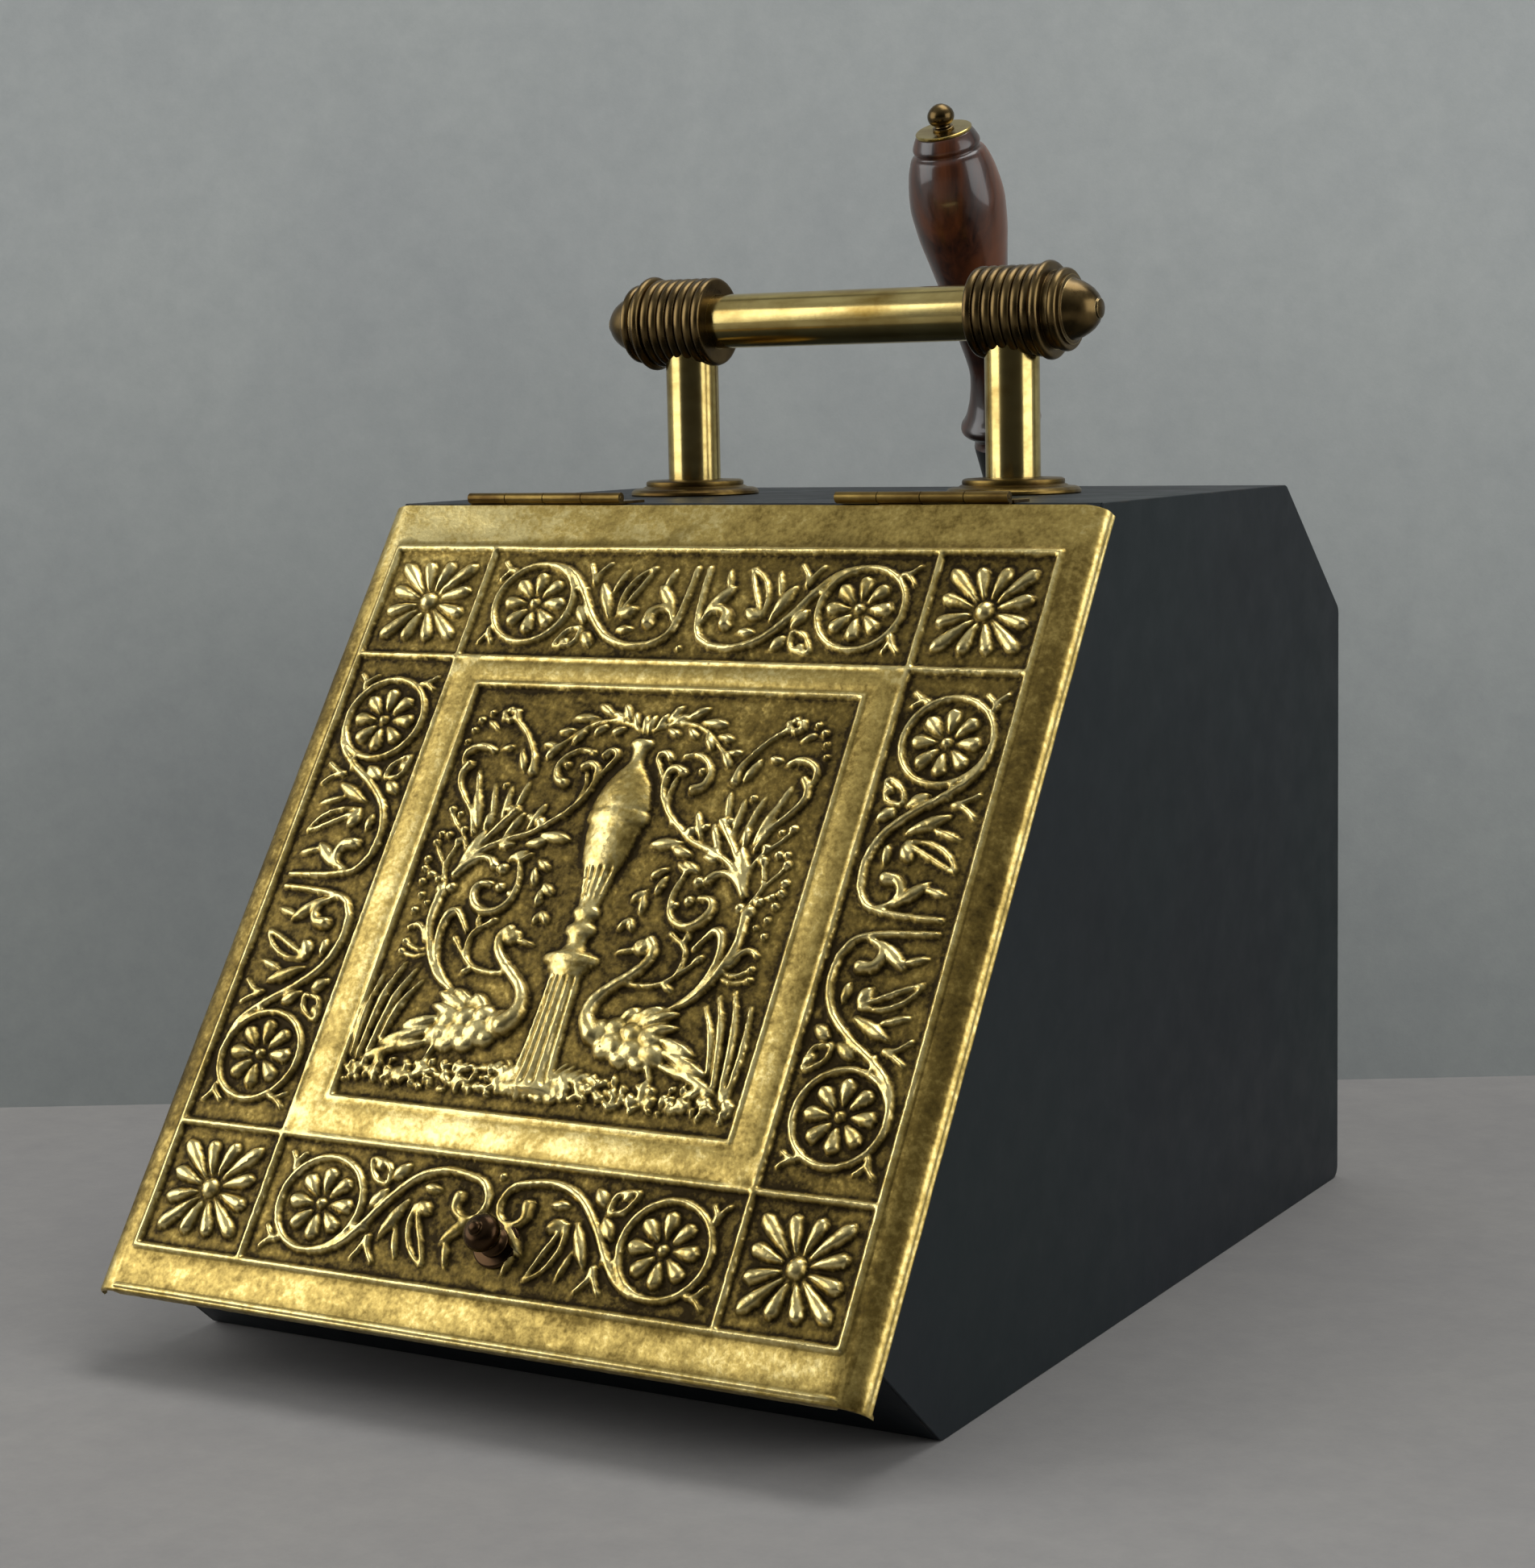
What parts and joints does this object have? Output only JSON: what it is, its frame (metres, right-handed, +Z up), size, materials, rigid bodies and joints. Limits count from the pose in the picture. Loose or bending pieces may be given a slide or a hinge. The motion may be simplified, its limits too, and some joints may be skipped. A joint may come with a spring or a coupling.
{
  "type": "coal scuttle",
  "caption": "Sloping-front sheet-iron coal box with a hinged pressed brass lid, brass carrying handle, lift-out liner and a wooden-handled shovel on a rear bracket.",
  "frame": {"origin": "centre of the flat base, on the floor", "axes": "+Z up, -Y towards the front, where the lid slopes down, +X to the right of someone facing the lid"},
  "size_m": [0.3, 0.4756, 0.4436],
  "materials": {
    "case_paint": "satin blue-black paint on sheet iron",
    "lid_brass": "pressed brass, polished on the high places and dark in the hollows",
    "polished_brass": "polished brass with light tarnish",
    "bronze": "dark bronzed brass",
    "bare_iron": "plain iron",
    "black_iron": "blackened sheet iron",
    "galvanised": "galvanised, dull",
    "mahogany": "turned, dark stained and polished"
  },
  "bodies": {
    "case": {"side_left": "case_paint", "side_right": "case_paint", "back_sheet": "case_paint", "base_sheet": "case_paint", "seam_rivets": "case_paint", "mouth_frame": "case_paint", "liner": "galvanised", "liner_grip": "galvanised", "liner_rivets": "galvanised", "shovel_shoe": "case_paint", "shovel_fork": "case_paint", "bracket_rivets": "case_paint", "stiffener": "case_paint", "rose_left": "polished_brass", "rose_right": "polished_brass", "post_left": "polished_brass", "post_right": "polished_brass", "collar_left": "bronze", "collar_right": "bronze", "handle_bar": "polished_brass", "tie_rod": "bare_iron", "cap_left": "bronze", "cap_right": "bronze", "post_studs": "bare_iron", "stud_washers": "bare_iron", "stud_nuts": "bare_iron", "hinge_fixed_left": "polished_brass", "hinge_fixed_right": "polished_brass", "hinge_pin_left": "polished_brass", "hinge_pin_right": "polished_brass", "leaf_rivets": "polished_brass"},
    "lid": {"hinge_moving_left": "polished_brass", "hinge_moving_right": "polished_brass", "lid_skin": "lid_brass", "lid_back": "case_paint", "lid_knob": "bronze", "knob_rose": "bronze", "knob_stud": "bare_iron", "knob_nut": "bare_iron"},
    "shovel": {"scoop": "black_iron", "shovel_socket": "black_iron", "socket_rivets": "black_iron", "shovel_grip": "mahogany", "grip_washer": "polished_brass", "shovel_finial": "bronze", "shovel_rod": "bare_iron"}
  },
  "joints": [
    {"name": "lid_hinge", "type": "hinge", "parent": "case", "child": "lid", "pos_m": [0, -0.05605, 0.2912], "axis": [-1, 0, 0], "range_deg": [0, 189]},
    {"name": "shovel_lift", "type": "slide", "parent": "case", "child": "shovel", "axis": [0, 0, 1], "range_m": [0, 0.02]}
  ]
}
